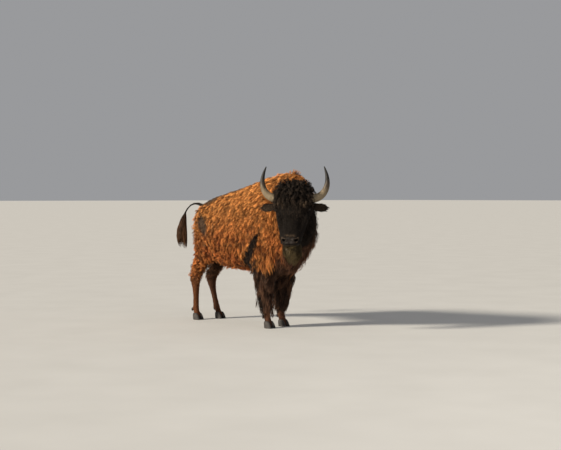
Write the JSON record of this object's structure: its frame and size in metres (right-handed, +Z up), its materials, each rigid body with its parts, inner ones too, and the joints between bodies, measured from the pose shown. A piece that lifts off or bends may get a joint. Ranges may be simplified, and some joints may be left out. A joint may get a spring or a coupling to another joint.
{
  "type": "bison",
  "caption": "Standing life-size American plains bison, a still museum model with shed wool coat, curly mop, beard, chaps, short curved horns and cloven hooves.",
  "frame": {"origin": "on the floor under the middle of the model's box", "axes": "+Z up, the animal faces -Y and its left side is +X; the head is turned to its right"},
  "size_m": [0.8094, 2.485, 1.6844],
  "materials": {
    "wool": "shaggy orange brown wool in streaky locks, shed to a dark strip along the back",
    "dark_hair": "black brown hair, curly on the crown, short on the face, long on beard and tail",
    "brown_hair": "dark brown leg hair, long on the forelegs and short below the hocks",
    "horn": "worn grey olive horn sheath with black tip, satin",
    "eye": "wet dark brown eye",
    "hoof": "dark grey hoof, worn matt"
  },
  "bodies": {
    "root": {"trunk": "wool", "hump": "wool", "neck": "wool", "head": "dark_hair", "mop": "dark_hair", "beard": "dark_hair", "tail": "dark_hair", "tail_tuft": "dark_hair", "ear_left": "dark_hair", "ear_right": "dark_hair", "eye_left": "eye", "eye_right": "eye", "horn_left": "horn", "horn_right": "horn", "leg_front_left": "brown_hair", "leg_front_right": "brown_hair", "leg_hind_left": "brown_hair", "leg_hind_right": "brown_hair", "toe_front_left_a": "hoof", "dewclaw_front_left_a": "hoof", "toe_front_left_b": "hoof", "dewclaw_front_left_b": "hoof", "toe_front_right_a": "hoof", "dewclaw_front_right_a": "hoof", "toe_front_right_b": "hoof", "dewclaw_front_right_b": "hoof", "toe_hind_left_a": "hoof", "dewclaw_hind_left_a": "hoof", "toe_hind_left_b": "hoof", "dewclaw_hind_left_b": "hoof", "toe_hind_right_a": "hoof", "dewclaw_hind_right_a": "hoof", "toe_hind_right_b": "hoof", "dewclaw_hind_right_b": "hoof"}
  },
  "joints": []
}
